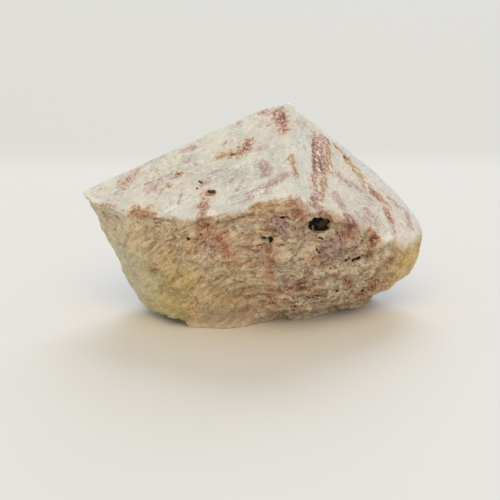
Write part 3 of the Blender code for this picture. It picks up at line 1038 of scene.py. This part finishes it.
# %% Find the polish
RIM_WANDER = 6.0  # millimetres from the noise's lowest to its highest
RIM_BAND = 3.2  # and the millimetres over which the polish thins out
rim_noise = speckle(1.9, detail=6.0, roughness=0.7)
polished_depth = add(tree, "ShaderNodeMath", {
    0: rim_noise, 1: RIM_WANDER, 2: field["polish"]}, operation="MULTIPLY_ADD")
is_polished = easing(
    polished_depth.outputs[0], (RIM_WANDER - RIM_BAND) / 2, (RIM_WANDER + RIM_BAND) / 2)
is_broken = add(tree, "ShaderNodeMath", {
    0: 1.0, 1: is_polished}, operation="SUBTRACT").outputs[0]
print("the polish thins out over", RIM_BAND, "mm")

# %% [markdown]
# ## Beds and split pieces
#
# The stone's layers rise to the right on the left half and lie level on the right. Turning
# the coordinates about Y by that slope gives a frame whose X runs along the beds, and the
# patterns that follow the layers are made in it. A cell pattern stretched along X gives split
# pieces, each with a tone of its own, and thin lines where a noise is at one level give seams.

# %% Lay out the beds
PIECE_BEND = 2.5  # how far the pieces' outlines are bent, in millimetres
BEND_SCALE = 0.8  # bends a millimetre
across = add(tree, "ShaderNodeSeparateXYZ", {0: place}).outputs["X"]
slope = add(tree, "ShaderNodeMapRange", {
    "Value": across, "From Min": CHANGE_FROM, "From Max": CHANGE_TO,
    "To Min": LEFT_RISE, "To Max": RIGHT_RISE})
bedded = add(tree, "ShaderNodeVectorRotate", {
    "Vector": place, "Angle": slope.outputs[0]}, rotation_type="Y_AXIS").outputs[0]


def shards(width, along):
    """Split pieces that lie along the beds: two tones of each, and how far its edge is."""
    unevenness = add(tree, "ShaderNodeTexNoise", {
        "Vector": bedded, "Scale": BEND_SCALE, "Detail": 4.0})
    bent = add(tree, "ShaderNodeVectorMath", {
        0: unevenness.outputs["Color"], 1: (PIECE_BEND,) * 3, 2: bedded,
    }, operation="MULTIPLY_ADD")
    spaced = add(tree, "ShaderNodeMapping", {
        "Vector": bent.outputs[0], "Scale": (width * along, width, width)}, vector_type="TEXTURE")
    piece = add(tree, "ShaderNodeTexVoronoi", {"Vector": spaced.outputs[0], "Scale": 1.0})
    edge = add(tree, "ShaderNodeTexVoronoi", {
        "Vector": spaced.outputs[0], "Scale": 1.0}, feature="DISTANCE_TO_EDGE")
    tones = add(tree, "ShaderNodeSeparateColor", {0: piece.outputs["Color"]}).outputs
    return tones["Red"], tones["Green"], edge.outputs["Distance"]


def seam(pattern, level):
    """How far a pattern is from a level: near 0 along thin lines that wander and close."""
    above = add(tree, "ShaderNodeMath", {0: pattern, 1: level}, operation="SUBTRACT")
    return add(tree, "ShaderNodeMath", {0: above.outputs[0]}, operation="ABSOLUTE").outputs[0]


print("the beds rise by", round(math.degrees(LEFT_RISE)), "degrees on the left")

# %% [markdown]
# ## The grain sizes
#
# These patterns are shared by the layers below. Each is as wide as the real thing: sugar-like
# grit is about half a millimetre, crumbs a little larger, and fibres are thin and six times as
# long. Real quartz also has grain of a tenth of a millimetre, which is too fine to show, so
# `sand` is drawn as coarse as it needs to show. The last three are amounts: how much of the
# coarse layers a place gets, how much of the splinters, and where grit gathers.

# %% Make the shared patterns
sand = speckle(0.36, detail=1.0)
grit = speckle(0.5, detail=2.0, roughness=0.7)
crumbs = speckle(0.7, detail=6.0, roughness=0.75)
flecks = speckle(1.2, detail=4.0, roughness=0.65)
curd = speckle(1.5, detail=6.0, roughness=0.7)
frays = speckle(1.9, detail=6.0, roughness=0.65)
patchy = speckle(2.4, detail=8.0, roughness=0.75)
fibres = speckle(0.45, detail=4.0, roughness=0.65, along=6.0, warp=0.3, within=bedded)
beds = speckle(1.4, detail=6.0, roughness=0.65, along=4.5, warp=0.4, within=bedded)
coarse = easing(field["coarseness"], 0.0, 1.4, 1.4)
splintered = easing(field["coarseness"], 0.5, 1.5, 1.3)
gritty = easing(speckle(4.5), 0.44, 0.56, where=coarse)
print("nodes so far:", len(tree.nodes))

# %% [markdown]
# ## Polished quartz
#
# Polished milky quartz is never one white: wide clouds of cooler and warmer white, grey where
# it is clearer, curdled spots a millimetre or two across, and fine mauve needles along the
# beds. The layers go from the widest to the finest, so that each shows on the one before.

# %% Colour the polished quartz
needles = speckle(1.2, detail=2.0, along=3.0, warp=0.5, within=bedded)
with_needles = easing(speckle(6.0, detail=3.0), 0.44, 0.56)
polished = coat(linear("#F0F3ED"), "#DDE2DF", speckle(9.0, detail=6.0), 0.44, 0.60)
polished = coat(polished, "#F4F3EA", speckle(16.0, detail=4.0), 0.50, 0.64, 0.5)
polished = layers(
    vein, polished,
    ("smoke", "#C2C5C3", patchy, 1.8, 0.0, 0.8, 0.75),
    ("blush", "#E9DFD6", patchy, 1.8, -0.1, 0.8, 0.6),
    ("ochre", "#C4AA86", frays, 4.0, -0.1, 1.0, 0.75),
)
polished = layers(
    coat, polished,
    ("#EADCCE", speckle(5.0, detail=6.0, roughness=0.7), 0.54, 0.70, 0.5),
    # painted warmth on the right face, which offsets the cool window light that falls there
    ("#E9DDCF", across, 10.0, 35.0, 0.6),
    ("#FFFFFF", curd, 0.53, 0.62, 0.8),
    ("#BDB7AC", curd, 0.43, 0.33, 0.8),
    ("#FFFFFF", crumbs, 0.54, 0.62, 0.6),
    ("#A39A90", crumbs, 0.41, 0.35, 0.5),
    ("#FFFFFF", sand, 0.55, 0.68, 0.3),
    ("#A19A92", sand, 0.42, 0.33, 0.2),
    ("#AC9DA2", needles, 0.57, 0.68, 0.6, with_needles),
)
print("nodes so far:", len(tree.nodes))

# %% [markdown]
# ## Broken quartz and feldspar
#
# The broken flank goes from pale yellow-green on the left over ochre to warm beige on the
# right. On that ground lie, in this order: the stains, the split pieces' own hues, dirt and
# iron in the fibres and beds, fresh bright faces, grit, a painted highlight on the high places
# of the relief and painted shade with iron stain in its low ones, and bright and dark seams,
# which are a painted highlight beside a painted shadow line. Within three millimetres of the
# rim the broken stone is paler.

# %% Colour the broken ground and its pieces
tone, hue, edge = shards(2.0, 3.0)
small_tone, small_hue, small_edge = shards(0.9, 3.6)
wrinkles = speckle(2.6, detail=5.0, along=3.0, warp=0.8, within=bedded)
rough = layers(
    coat, linear("#E9E1C0"),
    ("#C8BA7E", across, -40.0, -16.0),
    ("#CE9A60", across, -12.0, 5.0),
    ("#F2B984", across, 12.0, 28.0),
    ("#F4D692", across, 32.0, 42.0),
    ("#EEDDB4", speckle(6.0, detail=4.0), 0.52, 0.66, 0.5),
    ("#9C8250", speckle(7.0, detail=4.0), 0.47, 0.36, 0.5),
    ("#D8A68A", speckle(4.0, detail=4.0), 0.52, 0.66, 0.5),
)
rough = layers(
    vein, rough,
    ("ochre", "#E6C478", patchy, 1.8, -0.1, 0.8, 0.75),
    ("blush", "#EAC0A8", patchy, 1.5, -0.1, 0.8, 0.8),
    ("smoke", "#A59D86", patchy, 1.8, -0.1, 0.8, 0.7),
)
rough = layers(
    coat, rough,
    ("#FBD8B4", field["coarseness"], 0.8, 1.5, 0.4),
    ("#E8A88C", hue, 0.62, 0.64, 0.6, splintered),
    ("#CDB98E", hue, 0.24, 0.22, 0.5, coarse),
    ("#F2CB88", small_hue, 0.70, 0.72, 0.6, splintered),
)
print("nodes so far:", len(tree.nodes))

# %% Darken with dirt and iron, and brighten the fresh faces
rusty = speckle(2.6, detail=6.0, roughness=0.7)
rough = layers(
    coat, rough,
    ("#B4643A", rusty, 0.42, 0.36, 0.55, splintered),
    ("#86642E", beds, 0.45, 0.35, 0.5),
    ("#6A4816", fibres, 0.43, 0.36, 0.55),
    ("#964C1C", tone, 0.19, 0.17, 0.5, coarse),
    ("#783C12", small_tone, 0.19, 0.17, 0.55, coarse),
    ("#6E3010", fibres, 0.37, 0.33, 0.6, splintered),
    ("#FCECC8", beds, 0.54, 0.62, 0.35),
    ("#FFEFCC", fibres, 0.57, 0.64, 0.45),
    ("#FFE6C8", tone, 0.62, 0.64, 0.5, coarse),
    ("#FFECD2", small_tone, 0.62, 0.64, 0.7, splintered),
)
print("nodes so far:", len(tree.nodes))

# %% Add grit, relief and seams
rough = layers(
    coat, rough,
    ("#5E2E10", grit, 0.42, 0.36, 0.85, gritty),
    ("#FFF6DE", grit, 0.55, 0.61, 0.8, gritty),
    ("#FFE6C8", patchy, 0.46, 0.53, 0.6, splintered),
    ("#4A200A", crumbs, 0.38, 0.34, 0.85, coarse),
    # painted highlight on the high places of the relief, then painted shade, browned as by iron
    # stain, in the low ones
    ("#FFF4DA", field["relief"], 0.5, 1.0, 0.4),
    ("#A06A30", field["relief"], -0.1, -0.8, 0.3),
    ("#6E3A14", field["relief"], -0.7, -1.3, 0.2),
    # seams: a painted highlight beside a painted shadow line, as along the edge of a splinter
    ("#FFF4DC", seam(wrinkles, 0.54), 0.025, 0.008, 0.6, splintered),
    ("#5A2A10", seam(wrinkles, 0.50), 0.014, 0.004, 0.55, splintered),
)
rough = vein(rough, "white", "#FFF0D4", patchy, 2.4, -0.1, 0.6, 0.8)
# the broken stone is paler within three millimetres of the rim
rough = coat(rough, "#F6EAD2", field["polish"], -3.0, -0.3, 0.45)
print("nodes so far:", len(tree.nodes))

# %% [markdown]
# ## Tourmaline, mica and rust
#
# A tourmaline prism is ribbed along its length, so its colours lie in upright strands: pink
# and rusty brown with dark ribs, and white glints, painted highlights where the mirror-like
# faces would catch light.
# Mica is scaly and lilac. Rust is brown between pale strands. Each is a colour of its own
# first, and is then laid where its rods are.

# %% Mix the minerals' colours
CRYSTAL_RISE = math.radians(78)  # from level
upright = add(tree, "ShaderNodeVectorRotate", {
    "Vector": place, "Angle": CRYSTAL_RISE}, rotation_type="Y_AXIS").outputs[0]
strands = speckle(0.8, detail=5.0, roughness=0.7, along=2.2, warp=0.3, within=upright)
wide_strands = speckle(1.7, detail=3.0, along=2.5, warp=0.3, within=upright)
crystal = layers(
    coat, linear("#C4937E"),
    ("#B47C82", wide_strands, 0.50, 0.58, 0.8),
    ("#AE7448", wide_strands, 0.46, 0.38, 0.8),
    ("#5E2E2A", strands, 0.45, 0.37, 0.9),
    ("#FBEFE2", strands, 0.54, 0.61, 0.9),
    # painted highlights: white glints in the crystal
    ("#FFFFFF", grit, 0.57, 0.64),
    ("#3E201C", crumbs, 0.38, 0.31, 0.8),
)
# a pale pink halo round the crystals, with white flecks that are painted glints
halo_with_painted_glints = coat(linear("#EADACB"), "#FFFFFF", grit, 0.54, 0.62)
rust = coat(linear("#C8A072"), "#F6E8CC", strands, 0.52, 0.60, 0.9)
rust = coat(rust, "#7A4824", strands, 0.46, 0.38, 0.9)
mica = coat(linear("#C6A29E"), "#F4E2DA", grit, 0.52, 0.64, 0.9)
mica = coat(mica, "#6A403C", flecks, 0.48, 0.38, 0.9)
mauve = coat(linear("#C0A09E"), "#F3E6E0", strands, 0.50, 0.60, 0.85)
mauve = coat(mauve, "#8A666C", flecks, 0.45, 0.37, 0.75)
stained = layers(
    coat, linear("#AA604A"),
    ("#F0C4A6", patchy, 0.50, 0.56, 0.9),
    ("#6C3026", flecks, 0.46, 0.41, 0.9),
    ("#FBE2C4", grit, 0.56, 0.63, 0.8),
    ("#54210F", crumbs, 0.42, 0.35, 0.7),
)
# near black: painted shade inside the holes; the smoke rows brown the lit wall of the vug and the
# pit
hollow_shade = vein(linear("#1E140C"), "smoke", "#6E5A40", patchy, 3.0, -0.1, 0.5, 0.9)
print("nodes so far:", len(tree.nodes))

# %% Lay the minerals into the polished quartz
polished = layers(
    vein, polished,
    ("lilac", mauve, frays, 3.6, -0.3, 0.8, 0.85),
    ("tourmaline", halo_with_painted_glints, patchy, 2.8, -0.9, 0.4, 0.5),
    ("tourmaline", crystal, frays, 4.0, -0.1, 0.9, 0.95),
    ("rust", rust, frays, 4.0, -0.1, 0.9, 0.85),
    # on the polished faces the white rows are painted glints, pure white highlights
    ("white", "#FFFFFF", grit, 3.0, 0.1, 0.4, 0.95),
)
print("nodes so far:", len(tree.nodes))

# %% Lay the minerals into the broken flank, and join the two
rough = layers(
    vein, rough,
    ("lilac", mica, frays, 3.0, -0.2, 0.6, 0.85),
    ("tourmaline", "#DAAA8E", patchy, 2.4, -0.8, 0.4, 0.6),
    ("tourmaline", stained, flecks, 5.0, -0.2, 0.5, 0.9),
    ("rust", rust, frays, 4.0, 0.0, 0.7, 0.75),
)
# dark lines along the split pieces' edges: painted shade in the cracks between them
rough = coat(rough, "#46240C", edge, 0.03, 0.0, 0.5, splintered)
rough = coat(rough, "#5E3414", small_edge, 0.03, 0.0, 0.35, splintered)
skin_colour = coat(rough, polished, is_polished, 0.0, 1.0)
skin_colour = layers(
    vein, skin_colour,
    ("schorl", "#6C4038", flecks, 4.0, 0.2, 0.8, 0.75),
    # the cracks are painted dark brown: painted shade along the sunk grooves
    ("crack", "#573820", crumbs, 1.2, 0.0, 0.6, 0.7, is_broken),
    ("hole", hollow_shade, crumbs, 0.5, -0.05, 0.25),
)
print("nodes so far:", len(tree.nodes))

# %% [markdown]
# ## Gloss and the finest grain
#
# A polish over softer and harder minerals side by side is satiny, not a mirror, so its
# roughness is 0.28, while a broken face scatters light and gets 0.85. Grain under half a
# millimetre is finer than the skin's points, so it is a bump, and only on the broken stone.

# %% Finish the material
MATT, GLOSS = 0.85, 0.28
QUARTZ_IOR = 1.54
FIBRE_RELIEF, CRUMB_RELIEF = 0.6 * MM, 0.2 * MM
roughness = add(tree, "ShaderNodeMapRange", {
    "Value": is_polished, "To Min": MATT, "To Max": GLOSS})
coarse_share = add(tree, "ShaderNodeMath", {0: is_broken, 1: coarse}, operation="MULTIPLY")
fibre_bump = add(tree, "ShaderNodeBump", {
    "Height": fibres, "Distance": FIBRE_RELIEF, "Strength": is_broken})
crumb_bump = add(tree, "ShaderNodeBump", {
    "Height": crumbs, "Distance": CRUMB_RELIEF, "Strength": coarse_share.outputs[0],
    "Normal": fibre_bump.outputs[0]})
stone_shader = add(tree, "ShaderNodeBsdfPrincipled", {
    "Base Color": skin_colour, "Roughness": roughness.outputs[0], "IOR": QUARTZ_IOR,
    "Normal": crumb_bump.outputs[0],
})
add(tree, "ShaderNodeOutputMaterial", {"Surface": stone_shader.outputs[0]})
skin.materials.append(stone_material)
print("the material has", len(tree.nodes), "nodes")

# %% [markdown]
# ## Hand over
#
# The skin rides on the stone's one body, stands for the imported solid, and takes its finish
# from the record's one slot.

# %% Hand over the stone
print("handing over", stone.name, "with", len(skin.polygons), "faces")
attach(stone, "root")
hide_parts("quartz_point")
